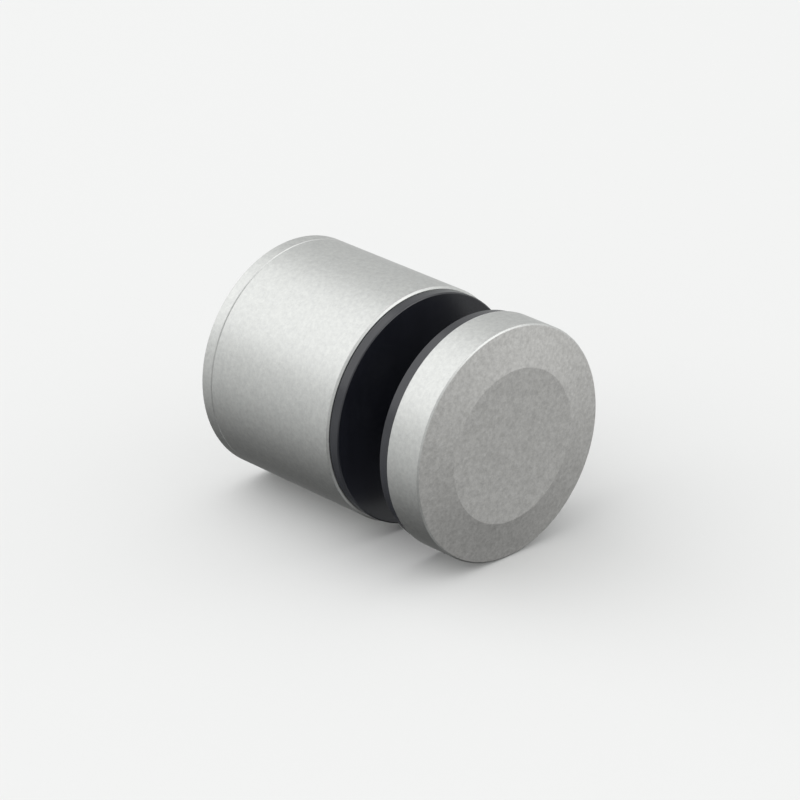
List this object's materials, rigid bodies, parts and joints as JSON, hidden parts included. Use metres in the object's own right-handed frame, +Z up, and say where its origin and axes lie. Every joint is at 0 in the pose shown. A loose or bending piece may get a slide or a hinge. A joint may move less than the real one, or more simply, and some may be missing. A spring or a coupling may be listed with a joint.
{
  "type": "glass panel standoff",
  "caption": "Round aluminium point fixing that holds a drilled glass pane off a wall, clamped between black gaskets by a screw-in cap with a shallow cone face.",
  "frame": {"origin": "centre of the wall plate's back face, where it lies on the wall", "axes": "+Y into the wall along the axis of the wall bore, so the cap faces -Y; +Z up; the lock screw is on the underside, towards -Z"},
  "size_m": [0.05, 0.0652, 0.05],
  "materials": {
    "anodised_aluminium": "bead-blasted and clear anodised, satin",
    "stainless_steel": "turned",
    "rubber": "smooth sheet, die cut",
    "nylon": "black, turned from rod"
  },
  "bodies": {
    "wall_plate": {"wall_plate": "anodised_aluminium"},
    "glass_seat": {"rear_gasket": "rubber", "glass_bush": "nylon"},
    "barrel": {"barrel": "anodised_aluminium"},
    "lock_screw": {"lock_screw": "stainless_steel"},
    "front_gasket": {"front_gasket": "rubber"},
    "cap": {"cap": "anodised_aluminium", "clamp_stud": "stainless_steel"}
  },
  "joints": [
    {"name": "barrel_travel", "type": "slide", "parent": "wall_plate", "child": "glass_seat", "axis": [0, -1, 0], "range_m": [0, 0.0075]},
    {"name": "barrel_turn", "type": "hinge", "parent": "glass_seat", "child": "barrel", "pos_m": [0, -0.0205, 0], "axis": [0, -1, 0], "range_deg": [0, 1800]},
    {"name": "lock_screw_travel", "type": "slide", "parent": "barrel", "child": "lock_screw", "axis": [0, 0, -1], "range_m": [0, 0.004]},
    {"name": "cap_travel", "type": "slide", "parent": "barrel", "child": "front_gasket", "axis": [0, -1, 0], "range_m": [-0.0054, 0.012]},
    {"name": "cap_turn", "type": "hinge", "parent": "front_gasket", "child": "cap", "pos_m": [0, -0.06, 0], "axis": [0, -1, 0], "range_deg": [-1296, 2880]}
  ],
  "couplings": [
    {"joint": "barrel_travel", "follows": "barrel_turn", "m_per_rad": 0.00023873},
    {"joint": "cap_travel", "follows": "cap_turn", "m_per_rad": 0.00023873}
  ]
}
